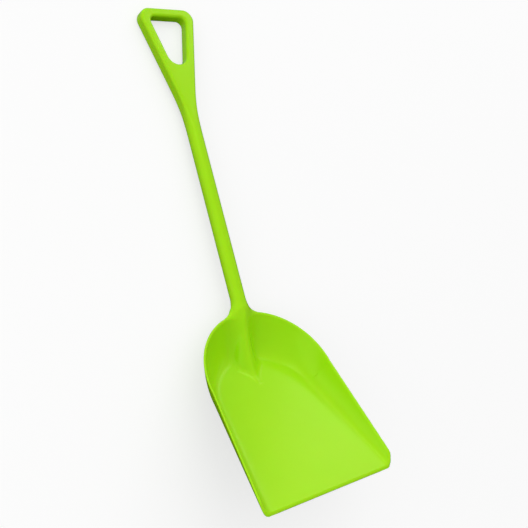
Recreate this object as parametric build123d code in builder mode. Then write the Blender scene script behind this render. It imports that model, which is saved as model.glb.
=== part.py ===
"""Scoop snow shovel moulded in one piece from polypropylene, in two shots.

The first shot is a ribbed core, which runs from the neck through the shaft into the loop of the D-grip. The
second shot is the green moulding around it: the scoop pan, the neck with its tapering spine, the shaft and
the grip. The two shots are modelled as the zones in which they are described: pan, neck, shaft and grip
outside, and a neck, a shaft and a grip core inside, keyed to each other by tenons.

Object frame, in millimetres: the shovel lies face up, as it rests on a floor on its heel and on the back of
its grip. +Y runs along the shovel towards the grip, +X across it, +Z up. The origin is the bottom centre of
the object's box. Places on the pan are given along its floor from the mouth and up from its floor, and
places on the handle are given along the shaft's axis from the point where it crosses the pan's rim.
"""

from math import atan, cos, radians, sin, sqrt, tan
import os

from build123d import *

# ---- how the shovel lies -------------------------------------------------------------------------------
LIFT = 32.9  # angle between the pan's floor and the shaft, degrees
REST_TILT = 2.1  # the shaft's fall towards the grip when the shovel rests on heel and grip, degrees
PITCH = LIFT + REST_TILT  # the floor of the pan falls this much from its mouth to its heel, degrees
MOUTH_Y, MOUTH_Z = -536.5, 200.29  # middle of the floor's front edge in the object frame

# ---- scoop pan -----------------------------------------------------------------------------------------
FLOOR_MOUTH = 320.0  # width of the flat floor at its front
FLOOR_SIDE = 230.0  # width of the floor where its straight sides end
FLOOR_BACK = 338.0  # length of the floor to the foot of the rear wall
SIDE_Y = 248.0  # length of the floor to where its straight sides end
MOUTH_RUN, MOUTH_RISE = 9.5, 12.5  # how far the wall leans out, and how high its rim is, at the floor's front
SIDE_RUN, SIDE_RISE = 36.5, 52.5  # the same where the straight sides end
BACK_RUN, BACK_RISE = 61.0, 82.5  # the same at the middle of the rear wall
WALL_CURL = 0.9  # how strongly the wall curls up from the floor, 0 for a straight wall
WALL = 4.6  # thickness of the walls, level
FLOOR = 5.0  # thickness of the floor
LIP = 4.6  # the mouth's bevelled edge stands out this far from the front of the floor
LIP_CORNER = 12.0  # radius of the mouth's two corners
RIM_SLOPE = 9.85  # the rim lies in one plane, which rises from the mouth to the back, degrees
WALL_END_SLOPE = 34.8  # slope of the plane that bevels the lip and slants the front ends of the walls, degrees
OPEN_END = 20.0  # the cavity is cut this far past the front of the floor and above the rim
WALL_STEPS = 7
WALL_LEVELS = [BACK_RISE * (step / WALL_STEPS) ** 2 for step in range(WALL_STEPS + 1)]  # closer near the floor

# ---- shaft ---------------------------------------------------------------------------------------------
SOCKET_Y, SOCKET_Z = 402.5, 85.6  # the shaft's axis crosses the rim here
SHAFT_WIDTH, SHAFT_DEPTH = 33.0, 30.6
SHAFT_ROUND = 14.4  # corner radius of the oval section
NECK_END = 56.0  # the neck ends, and the shaft starts, here
ROOT_START = -18.0  # the neck starts inside the rear wall
ROOT_FLARE, ROOT_DROP = 8.5, 1.5  # how much wider and deeper the neck is at its root than the shaft
ROOT_STEPS = 6
# Sections of the spine, the ridge that dives down the inside of the pan: place on the axis, half width,
# height over the axis, depth under it. They reach past the pan's inside, to which the spine is trimmed.
SPINE = (
    (-153.0, 5.0, -2.8, 12.0),
    (-124.0, 19.0, -11.4, 40.0),
    (-86.0, 29.0, -8.4, 60.0),
    (-44.0, 31.0, 1.0, 66.0),
    (-22.0, 29.0, 7.8, 66.0),
    (0.0, 26.0, 15.3, 66.0),
)
SHAFT_END = 436.0  # the shaft ends, and the grip starts, here
TRANSITION = 40.0  # length over which the oval turns into the grip's flat section

# ---- D-grip --------------------------------------------------------------------------------------------
GRIP_TOP = 701.0
GRIP_DEPTH = 28.2  # thickness of the loop
GRIP_EDGE = 6.4  # edge radius all round the loop
GRIP_SPREAD = 14.2  # angle of each arm to the shaft's axis, degrees
ARM_START = 472.0  # the line of each arm's outer side leaves the line of the shaft's side here
ARM_BEND = 280.0  # radius of the bend from the shaft into each arm
GRIP_CORNER = 24.0  # outer radius of the two top corners
TOP_BAR, ARM_WIDTH = 20.0, 20.3  # widths of the loop's top and of its arms
HAND_CORNER = 13.0  # radius of the hand opening's two top corners
HAND_BOTTOM = 567.5  # lowest point of the hand opening

# ---- first-shot core -----------------------------------------------------------------------------------
WEB = 5.0  # thickness of the core's webs
CORE_WIDTH, CORE_DEPTH = 21.0, 18.6
RIB = 3.0  # thickness of the cross ribs
RIB_PITCH = 47.0
CORE_START, CORE_END = 34.0, 452.0
TENON_LENGTH, TENON_WIDTH, TENON_DEPTH = 16.0, 10.0, 7.0  # tenons on both ends of the shaft's core
GRIP_CORE_DEPTH = 12.0
GRIP_CORE_INSET = 5.2  # the grip's core lies this far inside the loop's outline
CORE_CORNER, RIB_CORNER, TENON_CORNER = 1.0, 8.0, 1.0
NECK_CORE_START = -12.0  # the neck's core tapers to a blunt tip here

os.makedirs("parts", exist_ok=True)


# ---- reference planes ----------------------------------------------------------------------------------
def lying_plane(origin, fall):
    """Plane through origin whose local Y runs towards the grip and falls by the given degrees."""
    return Plane(origin=origin, x_dir=(1, 0, 0), z_dir=(0, sin(radians(fall)), cos(radians(fall))))


PAN = lying_plane((0, MOUTH_Y, MOUTH_Z), PITCH)  # the pan's floor
SOCKET = PAN.from_local_coords((0, SOCKET_Y, SOCKET_Z))
FACE = lying_plane(SOCKET, REST_TILT)  # local X across, local Y along the shaft's axis
AXIS = Plane(origin=SOCKET, x_dir=(1, 0, 0), z_dir=FACE.y_dir)  # sections across the shaft
SHAFT_LINE = Axis(SOCKET, FACE.y_dir)


# ---- the pan's inside ----------------------------------------------------------------------------------
def lean(height, run, rise):
    """How far a wall that leans out by run over its rise stands outside its foot at this height."""
    t = sqrt(height / rise)
    return run * (WALL_CURL * t * (1 - t) + t * t)


def pan_section(level, height, front, grow=0.0, corner=0.0):
    """Section level with the floor: the outline of the walls' inside at this height, grown, laid at level.

    Its straight sides converge from the front, which may have round corners, to an arc at the rear, which
    is tangent to both."""
    half_mouth = FLOOR_MOUTH / 2 + lean(height, MOUTH_RUN, MOUTH_RISE)
    half_side = FLOOR_SIDE / 2 + lean(height, SIDE_RUN, SIDE_RISE)
    back = FLOOR_BACK + lean(height, BACK_RUN, BACK_RISE) + grow
    taper = atan((half_mouth - half_side) / SIDE_Y)
    half_mouth += grow / cos(taper)
    radius = (half_mouth - back * tan(taper)) * cos(taper) / (1 - sin(taper))
    arc_x = radius * cos(taper)
    arc_y = back - radius + radius * sin(taper)
    front_x = half_mouth - front * tan(taper)
    with BuildSketch(PAN.offset(level)) as section:
        with BuildLine():
            Line((-front_x, front), (front_x, front))
            Line((front_x, front), (arc_x, arc_y))
            ThreePointArc((arc_x, arc_y), (0, back), (-arc_x, arc_y))
            Line((-arc_x, arc_y), (-front_x, front))
        make_face()
        if corner:
            fillet(section.vertices().group_by(Axis.Y)[0], radius=corner)
    return section.sketch


with BuildPart() as cavity:
    loft(sections=[pan_section(level, level, -OPEN_END) for level in WALL_LEVELS], ruled=True)
    extrude(pan_section(BACK_RISE, BACK_RISE, -OPEN_END), amount=OPEN_END)


# ---- neck ----------------------------------------------------------------------------------------------
def oval_section(place, half_width, above, below):
    """Oval section across the shaft's axis, reaching above and below it by the given heights."""
    centre = AXIS.offset(place).from_local_coords((0, (below - above) / 2, 0))
    with BuildSketch(Plane(origin=centre, x_dir=(1, 0, 0), z_dir=FACE.y_dir)) as section:
        Ellipse(half_width, (above + below) / 2)
    return section.sketch


def root_section(step):
    """Section of the neck's root, which flares as the square of the distance from its end on the shaft."""
    reach = step / ROOT_STEPS
    flare = reach**2
    half_width = SHAFT_WIDTH / 2 + ROOT_FLARE * flare
    below = SHAFT_DEPTH / 2 + ROOT_DROP * flare
    return oval_section(NECK_END + (ROOT_START - NECK_END) * reach, half_width, SHAFT_DEPTH / 2, below)


with BuildPart() as spine:
    loft(sections=[oval_section(*row) for row in SPINE], ruled=True)
    add(cavity.part, mode=Mode.INTERSECT)

with BuildPart() as neck:
    loft(sections=[root_section(step) for step in range(ROOT_STEPS + 1)], ruled=True)
    add(spine.part)

# ---- pan -----------------------------------------------------------------------------------------------
with BuildPart() as pan:
    underside = pan_section(-FLOOR, 0, -LIP, corner=LIP_CORNER)
    outside = [pan_section(level, level, -LIP, WALL, LIP_CORNER) for level in WALL_LEVELS]
    loft(sections=[underside] + outside, ruled=True)
    add(cavity.part, mode=Mode.SUBTRACT)
    rim = PAN.from_local_coords((0, 0, MOUTH_RISE))
    split(bisect_by=lying_plane(rim, PITCH - RIM_SLOPE), keep=Keep.BOTTOM)
    split(bisect_by=lying_plane(PAN.origin, PITCH - WALL_END_SLOPE), keep=Keep.BOTTOM)
    add(neck.part, mode=Mode.SUBTRACT)


# ---- shaft ---------------------------------------------------------------------------------------------
def shaft_section(place, depth, corner):
    """Section across the shaft's axis, as wide as the shaft, with rounded corners."""
    with BuildSketch(AXIS.offset(place)) as section:
        RectangleRounded(SHAFT_WIDTH, depth, corner)
    return section.sketch


with BuildPart() as shaft:
    straight_end = SHAFT_END - TRANSITION
    extrude(shaft_section(NECK_END, SHAFT_DEPTH, SHAFT_ROUND), amount=straight_end - NECK_END)
    oval = shaft_section(straight_end, SHAFT_DEPTH, SHAFT_ROUND)
    loft(sections=[oval, shaft_section(SHAFT_END, GRIP_DEPTH, GRIP_EDGE)], ruled=True)

# ---- grip ----------------------------------------------------------------------------------------------
SPREAD = tan(radians(GRIP_SPREAD))


def arm_x(place, inset=0.0):
    """Distance from the axis to the outer side of the grip's arm, or to a line inset from it."""
    return SHAFT_WIDTH / 2 + (place - ARM_START) * SPREAD - inset / cos(radians(GRIP_SPREAD))


def grip_outline(inset):
    """Outline of the grip, inset all round, from its flat end on the shaft to its top."""
    half = SHAFT_WIDTH / 2 - inset
    top = GRIP_TOP - inset
    bend = ARM_START + inset * tan(radians(GRIP_SPREAD / 2))
    with BuildSketch(FACE) as outline:
        with BuildLine():
            right = [(half, SHAFT_END), (half, bend), (arm_x(top, inset), top)]
            left = [(-x, y) for x, y in reversed(right)]
            Polyline(*right, *left, close=True)
        make_face()
        fillet(outline.vertices().group_by(Axis.Y)[1], radius=ARM_BEND)
        fillet(outline.vertices().group_by(Axis.Y)[-1], radius=GRIP_CORNER - inset)
    return outline.sketch


def hand_bottom_radius():
    """Radius of the hand opening's lower end: it touches both arms' inner sides and the lowest point."""
    spread = radians(GRIP_SPREAD)
    return arm_x(HAND_BOTTOM, ARM_WIDTH) * cos(spread) / (1 - sin(spread))


def hand_outline(inset):
    """Outline of the hand opening, grown outwards by inset."""
    top = GRIP_TOP - TOP_BAR + inset
    side = ARM_WIDTH - inset
    bottom_radius = hand_bottom_radius() + inset
    centre_y = HAND_BOTTOM + hand_bottom_radius()
    tangent_x = bottom_radius * cos(radians(GRIP_SPREAD))
    tangent_y = centre_y - bottom_radius * sin(radians(GRIP_SPREAD))
    with BuildSketch(FACE) as outline:
        with BuildLine():
            ThreePointArc((-tangent_x, tangent_y), (0, centre_y - bottom_radius), (tangent_x, tangent_y))
            Line((tangent_x, tangent_y), (arm_x(top, side), top))
            Line((arm_x(top, side), top), (-arm_x(top, side), top))
            Line((-arm_x(top, side), top), (-tangent_x, tangent_y))
        make_face()
        fillet(outline.vertices().group_by(Axis.Y)[-1], radius=HAND_CORNER + inset)
    return outline.sketch


with BuildPart() as grip:
    extrude(grip_outline(0), amount=GRIP_DEPTH / 2, both=True)
    extrude(hand_outline(0), amount=GRIP_DEPTH, both=True, mode=Mode.SUBTRACT)
    flats = grip.faces().filter_by(FACE)
    flat_end = grip.faces().sort_by(SHAFT_LINE)[0]
    fillet(flats.edges() - flat_end.edges(), radius=GRIP_EDGE)


# ---- first-shot core -----------------------------------------------------------------------------------
def bar_section(place, width, depth, corner):
    """Rectangular section across the axis with rounded corners."""
    with BuildSketch(AXIS.offset(place)) as section:
        RectangleRounded(width, depth, corner)
    return section.sketch


tenon = bar_section(CORE_START, TENON_WIDTH, TENON_DEPTH, TENON_CORNER)
top_tenon = bar_section(CORE_END, TENON_WIDTH, TENON_DEPTH, TENON_CORNER)

with BuildPart() as shaft_core:
    for width, depth in ((CORE_WIDTH, WEB), (WEB, CORE_DEPTH)):
        extrude(bar_section(CORE_START, width, depth, CORE_CORNER), amount=CORE_END - CORE_START)
    rib_count = int((CORE_END - CORE_START - RIB) // RIB_PITCH)
    for rib in range(rib_count + 1):
        place = CORE_START + rib * (CORE_END - CORE_START - RIB) / rib_count
        extrude(bar_section(place, CORE_WIDTH, CORE_DEPTH, RIB_CORNER), amount=RIB)
    extrude(tenon, amount=-TENON_LENGTH)
    extrude(top_tenon, amount=TENON_LENGTH)

with BuildPart() as neck_core:
    tip = bar_section(NECK_CORE_START, WEB, CORE_DEPTH / 2, CORE_CORNER)
    loft(sections=[tip, bar_section(CORE_START, CORE_WIDTH, CORE_DEPTH, CORE_CORNER)], ruled=True)
    add(shaft_core.part, mode=Mode.SUBTRACT)

with BuildPart() as grip_core:
    extrude(grip_outline(GRIP_CORE_INSET), amount=GRIP_CORE_DEPTH / 2, both=True)
    extrude(hand_outline(GRIP_CORE_INSET), amount=GRIP_DEPTH, both=True, mode=Mode.SUBTRACT)
    split(bisect_by=AXIS.offset(CORE_END), keep=Keep.TOP)
    add(shaft_core.part, mode=Mode.SUBTRACT)

# The second shot closes round the core, so each outer zone has the core's shape as its bore.
cores = {"neck_core": neck_core, "shaft_core": shaft_core, "grip_core": grip_core}
zones = {"neck": neck, "shaft": shaft, "grip": grip}
for zone in zones.values():
    for core in cores.values():
        with zone:
            add(core.part, mode=Mode.SUBTRACT)

for name, piece in {"pan": pan, **zones, **cores}.items():
    piece.part.label = name
    export_step(piece.part, f"parts/{name}.step")
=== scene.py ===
"""Looks of the one-piece scoop shovel.

The green moulding is one smooth surface without seams, so it is described here as a distance field and
meshed from it: a curled pan with a full-round rim, a tapering spine that melts into the pan, an oval shaft
and a flat D-grip. Its sizes follow the CAD parts', apart from small differences in the mouth's lip and the
walls' ends. The mesh is then cut square across the shaft into the pan with its neck, the shaft and the grip.

Sizes are in millimetres until the meshes are made. Three frames are used: the resting frame is the shared one,
the pan's frame has its origin at the middle of the mouth with y along the floor and z square to it, and the
shaft's has s along the shaft from the socket and n square to it.
"""

from math import atan, cos, radians, sin, tan

import bmesh
import bpy
import numpy as np
from mathutils import Euler, Matrix, Vector


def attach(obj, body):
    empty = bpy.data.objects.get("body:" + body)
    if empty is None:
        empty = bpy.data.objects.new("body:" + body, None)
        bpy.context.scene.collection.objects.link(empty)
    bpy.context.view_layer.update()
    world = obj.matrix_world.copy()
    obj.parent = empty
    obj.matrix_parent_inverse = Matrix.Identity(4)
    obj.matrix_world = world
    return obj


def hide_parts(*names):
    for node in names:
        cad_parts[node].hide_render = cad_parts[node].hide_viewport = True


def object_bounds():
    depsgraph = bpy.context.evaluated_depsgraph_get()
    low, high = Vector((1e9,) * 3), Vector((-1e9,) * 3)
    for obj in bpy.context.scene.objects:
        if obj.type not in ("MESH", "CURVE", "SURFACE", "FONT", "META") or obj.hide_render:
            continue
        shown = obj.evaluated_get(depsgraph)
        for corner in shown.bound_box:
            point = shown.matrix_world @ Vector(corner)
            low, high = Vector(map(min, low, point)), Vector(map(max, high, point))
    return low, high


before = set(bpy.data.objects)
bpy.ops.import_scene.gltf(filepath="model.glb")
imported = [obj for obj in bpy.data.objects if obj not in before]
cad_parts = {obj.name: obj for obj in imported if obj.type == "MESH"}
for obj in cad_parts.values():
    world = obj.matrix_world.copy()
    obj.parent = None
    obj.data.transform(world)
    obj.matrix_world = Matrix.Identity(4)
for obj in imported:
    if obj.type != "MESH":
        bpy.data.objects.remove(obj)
cad_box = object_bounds()

MM = 0.001

# ---- sizes ---------------------------------------------------------------------------------------------
LIFT, REST_TILT = 32.9, 2.1
PITCH = radians(LIFT + REST_TILT)
MOUTH = np.array((0.0, -536.5, 200.29))  # middle of the floor's front edge in the resting frame

FLOOR_HALF = 160.0  # half the width of the pan's floor at the mouth
FLOOR_TAPER = atan(45.0 / 248.0)  # each side of the floor closes in by 45 over a length of 248
FLOOR_BACK = 338.0  # length of the floor
MOUTH_RUN, SIDE_RUN = 9.5, 35.4  # how far the wall leans out at the mouth, and where its side turns
RIM_RADIUS, RIM_SHIFT = 151.4, 28.3  # the rim's rear arc, and its centre behind the floor's
RIM_MOUTH, RIM_BACK = 12.5, 82.5  # heights of the rim over the floor
RIM_LENGTH = 403.5
RIM_FLAT = 0.1  # the rim's rounding is this much less than half the wall
BEFORE_MOUTH = -20.0  # the walls stop changing this far in front of the mouth
WALL_CURL = 0.9  # 1 curls the wall up as a full parabola, 0 makes it a straight slope
FOOT_SOFTNESS = 10.0  # width over which the floor turns into the wall
WALL = 4.7
WALL_END_SLOPE, WALL_END_START = radians(35.8), 2.75  # the walls' slanted ends start this far before the floor
WALL_END_EDGE = 3.0  # rounding of the slanted ends of the walls
LIP, LIP_EDGE, LIP_FALL = 5.4, 1.3, 1.05  # the mouth's bevelled edge: its width, rounding and run per drop
LIP_CREASE = 1.2  # softness of the crease between the floor and the bevel
MOUTH_CORNER = 11.8  # radius of the mouth's corners
MOUTH_SIDE, MOUTH_FLARE = 6.5, 0.57  # where the corners end outside the floor, and how that widens

SOCKET = np.array((0.0, 402.5, 85.6))  # where the shaft's axis starts
SHAFT_HALF_WIDTH, SHAFT_HALF_DEPTH, SHAFT_ROUND = 16.5, 15.3, 14.4
SPINE_TIP, SPINE_ROOT, SPINE_TOP = 275.0, 394.2, 98.4  # the crest's two ends, and its height at the root
SPINE_CURVE, SPINE_SPREAD, SPINE_TAIL = 1.55, 3.8, 0.2
SPINE_SINK, SPINE_LEAST_FALL = 3.0, 1.0  # the tip starts under the floor, with sides at least this steep
SPINE_CROWN, SPINE_TIP_ROUND = 0.42, 4.0  # the crest's roundness against its half width, and at the tip
CREST_BLEND, SPINE_BLEND = 12.0, 8.0  # fillets of the dive and the tail, and of the spine and the shaft
FOOT_BLEND, ROOT_BLEND = 8.0, 28.0  # fillets round the spine in the pan, and round the shaft at the rim
ROOT_BLEND_RISE, ROOT_BLEND_FALL = (-110.0, -10.0), (10.0, 80.0)  # ranges of s where one turns into the other
ROOT_Y, ROOT_EDGE = 397.0, 6.0  # the shaft starts here in the pan's frame, with a round edge
BEHIND_NECK, BESIDE_NECK = (-60.0, -10.0), (-80.0, -40.0)  # ranges of s and -|x| where the rear wall softens
UNDER_SOFTNESS, NECK_SOFTNESS = 1.0, 5.0  # softness of the outer face's cut, and what the neck adds to it
UNDER_SHIFT = 0.2  # how far that cut is moved out for its softness
UNDER_RELEASE, RELEASE_RANGE = 60.0, (-40.0, 12.0)  # past the wall, its outer face stops cutting the neck
HEEL_SOFTNESS = 1.0  # rounding where the heel is flattened on the ground

GRIP_TOP, GRIP_HALF_DEPTH, GRIP_EDGE = 701.0, 14.1, 6.4
GRIP_SPREAD = radians(14.2)
ARM_START, ARM_WIDTH, TOP_BAR = 472.0, 20.3, 20.0
GRIP_CORNER, HAND_CORNER = 24.0, 13.0
HAND_BOTTOM = 567.5
ARM_BLEND = 8.6
INTO_GRIP = (405.0, 490.0)  # range of s where the shaft's section turns into the grip's
NECK_END, SHAFT_END = 56.0, 436.0  # the cuts between the pieces

FAR = 50.0  # the field's value well away from the shovel
HANDLE_REACH = 40.0  # the handle's field is worked out from this far before its root
PAN_REACH_S, PAN_REACH_Y = 90, 470  # and the pan's up to here

CELL = 1.8  # size of the mesh's cells
COARSE = 6  # cells in one coarse cell, which is looked at first
NEAR_SURFACE = 2.2  # coarse cells this many sizes from the surface are looked at closely
MARGIN = 8.0  # room for the mesh round the CAD parts' box
SLOPE_STEP, SPINE_STEP = 0.05, 0.5  # distances over which slopes are measured
SETTLE_ROUNDS, SETTLE_SHARE, DROP_ROUNDS = 4, 0.5, 2
LEAST_SLOPE = 0.2  # keeps the drops on the surface short where the field is flat
CUT_TOLERANCE = 1e-6
CAP_MARK = 1  # material index that marks the flat faces of a cut until they are shaded


# ---- distance field ------------------------------------------------------------------------------------
def smooth_min(a, b, blend):
    """Lower of two distances, with a fillet where they meet."""
    near = np.maximum(blend - np.abs(a - b), 0.0) / blend
    return np.minimum(a, b) - near * near * blend / 4


def smooth_max(a, b, blend):
    """Higher of two distances, with a soft edge where they meet."""
    return -smooth_min(-a, -b, blend)


def round_max(a, b, radius):
    """Higher of two distances, with a round edge where they meet."""
    outside = np.hypot(np.maximum(a + radius, 0.0), np.maximum(b + radius, 0.0))
    return np.minimum(np.maximum(a, b), -radius) + outside


def smooth_step(value, low, high):
    """Rises from 0 to 1 between two values."""
    t = np.clip((value - low) / (high - low), 0.0, 1.0)
    return t * t * (3 - 2 * t)


FLOOR_RADIUS = (FLOOR_HALF - FLOOR_BACK * tan(FLOOR_TAPER)) * cos(FLOOR_TAPER) / (1 - sin(FLOOR_TAPER))
FLOOR_CENTRE = FLOOR_BACK - FLOOR_RADIUS
TURN_Y = FLOOR_CENTRE + FLOOR_RADIUS * sin(FLOOR_TAPER)  # the floor's straight sides end here
RIM_RISE = (RIM_BACK - RIM_MOUTH) / RIM_LENGTH


def floor_outline(x, y):
    """Distance outside the floor's outline, how far the wall there leans out, and its rim's height."""
    across = np.abs(x)
    side = (across - FLOOR_HALF + y * tan(FLOOR_TAPER)) * cos(FLOOR_TAPER)
    back = y - FLOOR_CENTRE
    on_arc = back > across * tan(FLOOR_TAPER)
    reach = np.hypot(across, back)
    outside = np.where(on_arc, reach - FLOOR_RADIUS, side)

    sine = np.where(on_arc, back / np.maximum(reach, 1.0), sin(FLOOR_TAPER))
    cosine = np.sqrt(1 - sine * sine)
    foot_y = np.where(on_arc, FLOOR_CENTRE + FLOOR_RADIUS * sine, y - side * sin(FLOOR_TAPER))
    arc_run = RIM_SHIFT * sine + np.sqrt(RIM_RADIUS**2 - (RIM_SHIFT * cosine) ** 2) - FLOOR_RADIUS
    foot_y = np.clip(foot_y, BEFORE_MOUTH, None)
    side_run = MOUTH_RUN + (SIDE_RUN - MOUTH_RUN) * foot_y / TURN_Y
    run = np.where(on_arc, arc_run, side_run)
    rise = RIM_MOUTH + RIM_RISE * (foot_y + run * sine)
    return outside, run, rise


def above_pan(z, outside, run, rise):
    """Distance over the pan's inner surface: its flat floor and the wall that curls up from it."""
    q = (outside + np.hypot(outside, FOOT_SOFTNESS)) / 2 / run
    t = (np.sqrt(WALL_CURL**2 + 4 * (1 - WALL_CURL) * q) - WALL_CURL) / (2 * (1 - WALL_CURL))
    slope = 2 * rise * t / (run * (WALL_CURL + 2 * (1 - WALL_CURL) * t))
    return (z - rise * t * t) / np.sqrt(1 + slope * slope)


def pan_field(x, y, z):
    """Distance outside the pan, and the distance over its inner surface."""
    outside, run, rise = floor_outline(x, y)
    inner = above_pan(z, outside, run, rise)
    wall = np.abs(inner + WALL / 2) - WALL / 2
    over_rim = (z - RIM_MOUTH - RIM_RISE * y) * cos(atan(RIM_RISE))
    field = round_max(wall, over_rim, WALL / 2 - RIM_FLAT)
    end_rise = np.maximum(y + WALL_END_START, 0.0) * tan(WALL_END_SLOPE)
    over_end = (z - end_rise) * cos(WALL_END_SLOPE)
    field = smooth_max(field, over_end, WALL_END_EDGE)
    plan = round_max(outside - MOUTH_SIDE - MOUTH_FLARE * np.maximum(y, 0.0), -LIP - y, MOUTH_CORNER)
    bevel = (plan + LIP + inner * LIP_FALL) / np.hypot(1.0, LIP_FALL)
    field = smooth_max(field, bevel, LIP_CREASE)
    return round_max(field, plan, LIP_EDGE), inner


def spine_height(x, y):
    """Top of the ridge inside the pan: its crest dives from the shaft and runs out to a tip on the floor."""
    past_tip = y - SPINE_TIP
    share = np.maximum(past_tip, 0.01) / (SPINE_ROOT - SPINE_TIP)
    dive = (SPINE_TOP + SPINE_SINK) * share**SPINE_CURVE - SPINE_SINK + np.minimum(past_tip, 0.0)
    crest = smooth_min(dive, SPINE_TOP + (y - SPINE_ROOT) * SPINE_TAIL, CREST_BLEND)
    half_width = SPINE_SPREAD * np.sqrt(np.maximum(past_tip, 0.0) + SPINE_TIP_ROUND)
    crown = SPINE_CROWN * half_width
    fall = np.maximum(crest / (np.hypot(half_width, crown) - crown), SPINE_LEAST_FALL)
    return crest - fall * (np.hypot(x, crown) - crown)


def spine_field(x, y, z):
    """Distance over the spine, from its height and how steep it is there."""
    top = spine_height(x, y)
    along_x = spine_height(x + SPINE_STEP, y) - top
    along_y = spine_height(x, y + SPINE_STEP) - top
    slope = np.hypot(along_x, along_y) / SPINE_STEP
    return (z - top) / np.sqrt(1 + slope * slope)


def arm_line(x, s):
    """Distance outside the straight line of the grip's outer side."""
    return (np.abs(x) - SHAFT_HALF_WIDTH - (s - ARM_START) * tan(GRIP_SPREAD)) * cos(GRIP_SPREAD)


def flared_outline(x, s, inset, top, radius):
    """Distance outside the outline of the grip's arms and top, or one inset from it, with round corners."""
    across = np.abs(x) - SHAFT_HALF_WIDTH - (top - radius - ARM_START) * tan(GRIP_SPREAD)
    across = across + (inset + radius) / cos(GRIP_SPREAD)
    along = s - (top - radius)
    sides = np.maximum(arm_line(x, s) + inset, s - top)
    in_corner = (across > 0) & (across * sin(GRIP_SPREAD) + along * cos(GRIP_SPREAD) > 0)
    return np.where(in_corner, np.hypot(across, along) - radius, sides)


HAND_SIDE = SHAFT_HALF_WIDTH + (HAND_BOTTOM - ARM_START) * tan(GRIP_SPREAD) - ARM_WIDTH / cos(GRIP_SPREAD)
HAND_BOTTOM_RADIUS = HAND_SIDE * cos(GRIP_SPREAD) / (1 - sin(GRIP_SPREAD))


def grip_field(x, s, n):
    """Distance outside the D-grip: a flat plate that widens from the shaft, with the hand opening cut out."""
    outline = flared_outline(x, s, 0.0, GRIP_TOP, GRIP_CORNER)
    outline = smooth_min(np.abs(x) - SHAFT_HALF_WIDTH, outline, ARM_BLEND)
    outline = np.maximum(outline, s - GRIP_TOP)

    hand = flared_outline(x, s, ARM_WIDTH, GRIP_TOP - TOP_BAR, HAND_CORNER)
    centre = HAND_BOTTOM + HAND_BOTTOM_RADIUS
    below = s - centre < -np.abs(x) * tan(GRIP_SPREAD)
    hand = np.where(below, np.hypot(x, s - centre) - HAND_BOTTOM_RADIUS, hand)
    plate = np.maximum(outline, -hand)
    return round_max(plate, np.abs(n) - GRIP_HALF_DEPTH, GRIP_EDGE)


def shaft_field(x, n):
    """Distance outside the shaft, which is the same all along."""
    return round_max(np.abs(x) - SHAFT_HALF_WIDTH, np.abs(n) - SHAFT_HALF_DEPTH, SHAFT_ROUND)


def handle_field(x, s, n):
    """Distance outside the shaft and the grip that it turns into."""
    into_grip = smooth_step(s, *INTO_GRIP)
    return shaft_field(x, n) * (1 - into_grip) + grip_field(x, s, n) * into_grip


def pan_with_neck(x, y, z, s, handle):
    """Distance outside the pan, joined to the handle by the spine and by a wide fillet at the rim."""
    pan, inner = pan_field(x, y, z)
    outer = -(inner + WALL)
    spine = np.maximum(spine_field(x, y, z), outer)
    root = round_max(handle, ROOT_Y - y, ROOT_EDGE)
    at_root = smooth_step(s, *ROOT_BLEND_RISE) - smooth_step(s, *ROOT_BLEND_FALL)
    blend = FOOT_BLEND + (ROOT_BLEND - FOOT_BLEND) * at_root
    joined = smooth_min(pan, smooth_min(spine, root, SPINE_BLEND), blend)

    # The fillets stay inside the wall's outer face, which lets go where the neck leaves it.
    behind_neck = smooth_step(s, *BEHIND_NECK) * smooth_step(-np.abs(x), *BESIDE_NECK)
    softness = UNDER_SOFTNESS + NECK_SOFTNESS * behind_neck
    under = outer - UNDER_SHIFT * softness - UNDER_RELEASE * smooth_step(s, *RELEASE_RANGE)
    height = MOUTH[2] - y * sin(PITCH) + z * cos(PITCH)
    return smooth_max(smooth_max(joined, under, softness), -height, HEEL_SOFTNESS)


def shovel_field(points):
    """Distance outside the whole shovel, for points in the pan's frame."""
    x, y, z = points[:, 0], points[:, 1], points[:, 2]
    lift = radians(LIFT)
    s = (y - SOCKET[1]) * cos(lift) + (z - SOCKET[2]) * sin(lift)
    n = (z - SOCKET[2]) * cos(lift) - (y - SOCKET[1]) * sin(lift)
    field = np.full(len(points), FAR)
    near_handle = y > ROOT_Y - HANDLE_REACH
    field[near_handle] = handle_field(x[near_handle], s[near_handle], n[near_handle])
    near_pan = (s < PAN_REACH_S) & (y < PAN_REACH_Y)
    nearby = (values[near_pan] for values in (x, y, z, s, field))
    field[near_pan] = pan_with_neck(*nearby)
    return field


def to_pan(points):
    """Points of the resting frame, seen from the pan's frame."""
    y, z = points[:, 1] - MOUTH[1], points[:, 2] - MOUTH[2]
    turned = (points[:, 0], y * cos(PITCH) - z * sin(PITCH), y * sin(PITCH) + z * cos(PITCH))
    return np.stack(turned, 1)


def field_at(points):
    """Distance outside the shovel, for points in the resting frame."""
    return shovel_field(to_pan(points))


def gradient_at(points):
    """The field's slope along each axis."""
    slopes = []
    for axis in range(3):
        offset = np.zeros(3)
        offset[axis] = SLOPE_STEP
        slopes.append((field_at(points + offset) - field_at(points - offset)) / (2 * SLOPE_STEP))
    return np.stack(slopes, 1)


# ---- meshing -------------------------------------------------------------------------------------------
def sample_grid(low, high):
    """Field on a regular grid, worked out closely only in coarse cells near the surface."""
    coarse_step = CELL * COARSE
    coarse_shape = np.ceil((high - low) / coarse_step).astype(int) + 1
    counts = [np.arange(number) for number in coarse_shape]
    index = np.stack(np.meshgrid(*counts, indexing="ij"), -1).reshape(-1, 3)
    values = field_at(low + index * coarse_step).reshape(coarse_shape)

    fine = np.repeat(np.repeat(np.repeat(values, COARSE, 0), COARSE, 1), COARSE, 2)
    near = np.abs(fine) < coarse_step * NEAR_SURFACE
    where = np.argwhere(near)
    fine[near] = field_at(low + (where - COARSE // 2) * CELL)
    return fine


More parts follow.
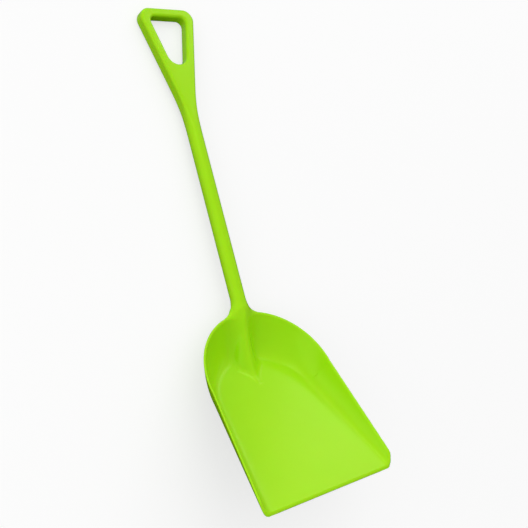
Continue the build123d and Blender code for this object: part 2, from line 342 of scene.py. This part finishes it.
def crossed_edges(grid, axis):
    """Grid edges along an axis that cross the surface: where they start, where they cross, and which way."""
    first = np.moveaxis(grid, axis, 0)[:-1]
    second = np.moveaxis(grid, axis, 0)[1:]
    edges = np.argwhere(np.moveaxis((first < 0) != (second < 0), 0, axis))
    ends = edges.copy()
    ends[:, axis] += 1
    a, b = grid[tuple(edges.T)], grid[tuple(ends.T)]
    place = edges.astype(np.float32)
    place[:, axis] += a / (a - b)
    return edges, place, a < 0


def cells_round(edges, u, v, steps):
    """The four cells round each edge, which lie back from it along the axes u and v."""
    for back_u, back_v in steps:
        cell = edges.copy()
        cell[:, u] -= back_u
        cell[:, v] -= back_v
        yield tuple(cell.T)


def surface_net(low, high):
    """Quad mesh of the field's zero surface: one point in each cell that it crosses."""
    grid = sample_grid(low, high)
    cell_shape = np.array(grid.shape) - 1
    total = np.zeros((*cell_shape, 3), np.float32)
    count = np.zeros(cell_shape, np.uint8)
    crossings = []
    for axis, (u, v) in enumerate(((1, 2), (0, 2), (0, 1))):
        edges, place, outward = crossed_edges(grid, axis)
        crossings.append((edges, outward))
        for cell in cells_round(edges, u, v, ((0, 0), (0, 1), (1, 0), (1, 1))):
            np.add.at(total, cell, place)
            np.add.at(count, cell, 1)

    used = count > 0
    number = np.full(cell_shape, -1, np.int64)
    number[used] = np.arange(used.sum())
    points = total[used] / count[used][:, None]
    quads = []
    for (u, v), (edges, outward) in zip(((1, 2), (2, 0), (0, 1)), crossings):
        in_turn = cells_round(edges, u, v, ((0, 0), (1, 0), (1, 1), (0, 1)))
        quad = np.stack([number[cell] for cell in in_turn], 1)
        quad[~outward] = quad[~outward][:, ::-1]
        quads.append(quad)
    return low + (points.astype(float) - COARSE // 2) * CELL, np.concatenate(quads)


def settle(points, quads):
    """Evens out the mesh and puts each point exactly on the surface."""
    ends = np.concatenate([quads, np.roll(quads, 1, 1)])
    starts = np.concatenate([np.roll(quads, -1, 1), quads])
    weight = np.zeros(len(points))
    np.add.at(weight, starts.ravel(), 1)
    for _ in range(SETTLE_ROUNDS):
        mean = np.zeros_like(points)
        np.add.at(mean, starts.ravel(), points[ends.ravel()])
        mean /= weight[:, None]
        slope = gradient_at(points)
        normal = slope / np.linalg.norm(slope, axis=1)[:, None]
        shift = mean - points
        shift -= (shift * normal).sum(1)[:, None] * normal
        points = points + SETTLE_SHARE * shift
        points = drop_on_surface(points)
    return drop_on_surface(points)


def drop_on_surface(points):
    """Moves points down the field's slope until they lie on the surface."""
    for _ in range(DROP_ROUNDS):
        slope = gradient_at(points)
        move = field_at(points) / np.maximum((slope * slope).sum(1), LEAST_SLOPE)
        points = points - np.clip(move, -CELL, CELL)[:, None] * slope
    return points


# ---- pieces --------------------------------------------------------------------------------------------
def along_shaft(distance):
    """A point on the shaft's axis in the resting frame, in metres, and the axis."""
    lift = radians(LIFT)
    in_pan = SOCKET + distance * np.array((0.0, cos(lift), sin(lift)))
    y = MOUTH[1] + in_pan[1] * cos(PITCH) + in_pan[2] * sin(PITCH)
    z = MOUTH[2] - in_pan[1] * sin(PITCH) + in_pan[2] * cos(PITCH)
    return Vector((0.0, y, z)) * MM, Vector((0.0, cos(radians(REST_TILT)), -sin(radians(REST_TILT))))


def piece_from(whole, name, start, end, material):
    """The part of the moulding between two cuts square to the shaft, closed with flat ends."""
    piece = bmesh.new()
    piece.from_mesh(whole)
    for distance, side in ((start, -1), (end, 1)):
        if distance is None:
            continue
        point, axis = along_shaft(distance)
        everything = piece.verts[:] + piece.edges[:] + piece.faces[:]
        bmesh.ops.bisect_plane(
            piece,
            geom=everything,
            dist=CUT_TOLERANCE,
            plane_co=point,
            plane_no=axis * side,
            clear_outer=True,
        )
        rim = [edge for edge in piece.edges if edge.is_boundary]
        cap = bmesh.ops.edgeloop_fill(piece, edges=rim)["faces"]
        for face in cap:
            face.material_index = CAP_MARK
    bmesh.ops.recalc_face_normals(piece, faces=piece.faces[:])
    mesh = bpy.data.meshes.new(name)
    piece.to_mesh(mesh)
    piece.free()
    shade(mesh)
    mesh.materials.append(material)
    shown = bpy.data.objects.new(name, mesh)
    bpy.context.scene.collection.objects.link(shown)
    return shown


def shade(mesh):
    """Smooth shading from the field's own slope, so that no line shows where two pieces meet."""
    count = len(mesh.vertices)
    places = np.empty(count * 3)
    mesh.vertices.foreach_get("co", places)
    slope = gradient_at(places.reshape(-1, 3) / MM)
    normals = slope / np.linalg.norm(slope, axis=1)[:, None]
    corners = np.empty(len(mesh.loops), np.int64)
    mesh.loops.foreach_get("vertex_index", corners)
    at_corners = normals[corners]
    for face in mesh.polygons:
        face.use_smooth = True
        if face.material_index == CAP_MARK:
            face.material_index = 0
            at_corners[face.loop_start : face.loop_start + face.loop_total] = face.normal
    mesh.normals_split_custom_set(at_corners.tolist())


# ---- materials -----------------------------------------------------------------------------------------
NOISE_ROUGHNESS, NOISE_RANGE = 0.55, (0.3, 0.7)
CLOUDS_PER_METRE, SHEEN_PER_METRE, GRAIN_PER_METRE = 9.0, 38.0, 1900.0
SOFT_DETAIL, GRAIN_DETAIL = 3.0, 2.0
SMOOTHER, ROUGHER = 0.03, 0.04  # how far the roughness strays either way
PLASTIC_IOR, PLASTIC_SPECULAR = 1.42, 0.5
GLOW_RADIUS, GLOW_SCALE = (0.3, 1.0, 0.1), 0.004  # light goes furthest into the plastic in green
GRAIN_DEPTH = 0.0002
WHITE = (1.0, 1.0, 1.0)

# each plastic's colour, the shade that it clouds to, and the tint of its sheen
GREEN, GREEN_THIN, GREEN_SHEEN = (0.385, 0.79, 0.006), (0.375, 0.78, 0.005), (0.8, 1.0, 0.25)
GREEN_ROUGHNESS, GREEN_GRAIN, GREEN_GLOW = 0.16, 0.15, 0.3
NATURAL, NATURAL_THIN = (0.72, 0.71, 0.66), (0.68, 0.67, 0.61)
CORE_ROUGHNESS, CORE_GRAIN, CORE_GLOW = 0.5, 0.4, 0.0


def new_material(name):
    """An empty material with a Principled shader."""
    material = bpy.data.materials.new(name)
    material.use_nodes = True
    nodes = material.node_tree.nodes
    nodes.clear()
    shader = nodes.new("ShaderNodeBsdfPrincipled")
    output = nodes.new("ShaderNodeOutputMaterial")
    material.node_tree.links.new(shader.outputs["BSDF"], output.inputs["Surface"])
    return material, shader


def add_node(material, kind, **inputs):
    """A shader node with some of its inputs set; an underscore stands for a space in an input's name."""
    node = material.node_tree.nodes.new(kind)
    for name, value in inputs.items():
        node.inputs[name.replace("_", " ")].default_value = value
    return node


def join(material, output, target):
    material.node_tree.links.new(output, target)


def noise(material, scale, detail=SOFT_DETAIL):
    """Noise of the object's own coordinates, in metres."""
    coordinates = add_node(material, "ShaderNodeTexCoord")
    sizes = {"Scale": scale, "Detail": detail, "Roughness": NOISE_ROUGHNESS}
    texture = add_node(material, "ShaderNodeTexNoise", **sizes)
    join(material, coordinates.outputs["Object"], texture.inputs["Vector"])
    return texture.outputs["Fac"]


def in_range(material, value, to_low, to_high):
    """Noise spread over a range of values."""
    ramp = add_node(material, "ShaderNodeMapRange", To_Min=to_low, To_Max=to_high)
    ramp.inputs["From Min"].default_value, ramp.inputs["From Max"].default_value = NOISE_RANGE
    join(material, value, ramp.inputs["Value"])
    return ramp.outputs["Result"]


def moulded_plastic(name, colour, thin_colour, sheen_tint, roughness, grain, glow):
    """Injection-moulded polypropylene: even colour that clouds a little, satin skin with a fine grain."""
    material, shader = new_material(name)
    clouds = in_range(material, noise(material, CLOUDS_PER_METRE), 0.0, 1.0)
    mix = add_node(material, "ShaderNodeMix")
    mix.data_type = "RGBA"
    mix.inputs["A"].default_value = (*colour, 1.0)
    mix.inputs["B"].default_value = (*thin_colour, 1.0)
    join(material, clouds, mix.inputs["Factor"])
    join(material, mix.outputs["Result"], shader.inputs["Base Color"])

    patches = noise(material, SHEEN_PER_METRE)
    sheen = in_range(material, patches, roughness - SMOOTHER, roughness + ROUGHER)
    join(material, sheen, shader.inputs["Roughness"])
    shader.inputs["IOR"].default_value = PLASTIC_IOR
    shader.inputs["Specular IOR Level"].default_value = PLASTIC_SPECULAR
    shader.inputs["Specular Tint"].default_value = (*sheen_tint, 1.0)
    shader.inputs["Subsurface Weight"].default_value = glow
    shader.inputs["Subsurface Radius"].default_value = GLOW_RADIUS
    shader.inputs["Subsurface Scale"].default_value = GLOW_SCALE

    bump = add_node(material, "ShaderNodeBump", Strength=grain, Distance=GRAIN_DEPTH)
    join(material, noise(material, GRAIN_PER_METRE, GRAIN_DETAIL), bump.inputs["Height"])
    join(material, bump.outputs["Normal"], shader.inputs["Normal"])
    return material


# ---- stage ---------------------------------------------------------------------------------------------
CAMERA_PLACE = (-0.98053, -0.23472, 1.44756)
CAMERA_TURN = (15.3139, -34.7643, -16.5699)  # degrees about x, y and z
SENSOR_WIDTH, LENS = 36.0, 54.545

FLOOR_SIZE, FLOOR_BRIGHTNESS, FLOOR_ALBEDO = 60, 0.66, 0.35
BACKDROP_RADIUS, BACKDROP_BRIGHTNESS, BACKDROP_ALBEDO = 28, 0.95, 0.0
MATT = 0.9

SKY_TOWARD, SKY_MIDDLE, SKY_SWING = (-0.35, 0.55, 0.76), 0.42, 0.67
# name, centre, aim, direction of the longer sides, size, watts
SOFTBOXES = (
    ("panel", (2.74, 2.44, 2.28), (-0.05, -0.42, 0.12), (0.36, 0.20, -0.91), (2.2, 0.95), 11.0),
    ("strip", (0.06, 1.50, 2.35), (0.0, -0.35, 0.1), (0.73, 0.36, -0.35), (2.6, 0.15), 6.2),
    ("left_fill", (-2.4, -0.3, 0.85), (0.0, -0.3, 0.1), (0.0, 1.0, 0.0), (2.5, 1.5), 8.5),
)


def camera_only(shape, name, brightness, albedo):
    """Makes a shape of the stage pale and matt, seen by the camera but without any say in the light."""
    material, shader = new_material(name + "_paint")
    shader.inputs["Base Color"].default_value = (albedo, albedo, albedo, 1.0)
    shader.inputs["Roughness"].default_value = MATT
    shader.inputs["Specular IOR Level"].default_value = 0.0
    shader.inputs["Emission Color"].default_value = (*WHITE, 1.0)
    shader.inputs["Emission Strength"].default_value = brightness
    shape.name = name
    shape.data.materials.append(material)
    shape.visible_diffuse = False
    shape.visible_glossy = False
    shape.visible_shadow = False


def add_floor_and_backdrop():
    """A pale floor, and a dome round it so that low views have a pale background too."""
    bpy.ops.mesh.primitive_plane_add(size=FLOOR_SIZE)
    camera_only(bpy.context.object, "floor", FLOOR_BRIGHTNESS, FLOOR_ALBEDO)
    bpy.ops.mesh.primitive_uv_sphere_add(radius=BACKDROP_RADIUS, segments=64, ring_count=32)
    camera_only(bpy.context.object, "backdrop", BACKDROP_BRIGHTNESS, BACKDROP_ALBEDO)


def add_softbox(name, centre, aim, along, size, watts):
    """An oblong soft light that faces the aim point, with its longer sides along a direction."""
    light = bpy.data.lights.new(name, "AREA")
    light.shape = "RECTANGLE"
    light.size, light.size_y = size
    light.energy = watts
    away = (Vector(centre) - Vector(aim)).normalized()
    side = Vector(along) - away * away.dot(Vector(along))
    side.normalize()
    lamp = bpy.data.objects.new(name, light)
    lamp.rotation_euler = Matrix((side, away.cross(side), away)).transposed().to_euler()
    lamp.location = centre
    bpy.context.scene.collection.objects.link(lamp)


def add_camera():
    """The camera, where fitting the outline to the photo put it."""
    camera = bpy.data.objects.new("camera", bpy.data.cameras.new("camera"))
    camera.location = CAMERA_PLACE
    camera.rotation_euler = Euler([radians(turn) for turn in CAMERA_TURN], "XYZ")
    camera.data.sensor_width = SENSOR_WIDTH
    camera.data.lens = LENS
    bpy.context.scene.collection.objects.link(camera)
    bpy.context.scene.camera = camera


def light_the_world(toward, middle, swing):
    """A soft tent of light: brightest where it faces, falling off evenly to dark on the other side."""
    world = bpy.data.worlds.new("studio")
    world.use_nodes = True
    tree = world.node_tree
    background = tree.nodes["Background"]
    background.inputs["Color"].default_value = (*WHITE, 1.0)
    direction = tree.nodes.new("ShaderNodeTexCoord")
    facing = tree.nodes.new("ShaderNodeVectorMath")
    facing.operation = "DOT_PRODUCT"
    facing.inputs[1].default_value = Vector(toward).normalized()
    tree.links.new(direction.outputs["Generated"], facing.inputs[0])
    level = tree.nodes.new("ShaderNodeMapRange")
    level.inputs["From Min"].default_value = -middle / swing
    level.inputs["From Max"].default_value = 1.0
    level.inputs["To Min"].default_value = 0.0
    level.inputs["To Max"].default_value = middle + swing
    tree.links.new(facing.outputs["Value"], level.inputs["Value"])
    tree.links.new(level.outputs["Result"], background.inputs["Strength"])
    bpy.context.scene.world = world


# ---- assembly ------------------------------------------------------------------------------------------
low, high = np.array(cad_box[0]) / MM - MARGIN, np.array(cad_box[1]) / MM + MARGIN
points, quads = surface_net(low, high)
points = settle(points, quads)
whole = bpy.data.meshes.new("shovel")
whole.from_pydata((points * MM).tolist(), [], quads.tolist())
whole.update()

green = moulded_plastic(
    "green_polypropylene", GREEN, GREEN_THIN, GREEN_SHEEN, GREEN_ROUGHNESS, GREEN_GRAIN, GREEN_GLOW
)
core = moulded_plastic(
    "core_polypropylene", NATURAL, NATURAL_THIN, WHITE, CORE_ROUGHNESS, CORE_GRAIN, CORE_GLOW
)

for name, start, end, nodes in (
    ("scoop", None, NECK_END, ("pan", "neck")),
    ("shaft_skin", NECK_END, SHAFT_END, ("shaft",)),
    ("grip_skin", SHAFT_END, None, ("grip",)),
):
    piece = piece_from(whole, name, start, end, green)
    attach(piece, "root")
    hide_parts(*nodes)

for name in ("neck_core", "shaft_core", "grip_core"):
    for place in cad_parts[name].material_slots:
        place.material = core

add_floor_and_backdrop()
light_the_world(SKY_TOWARD, SKY_MIDDLE, SKY_SWING)
for softbox in SOFTBOXES:
    add_softbox(*softbox)
add_camera()
bpy.context.scene.view_settings.view_transform = "Standard"
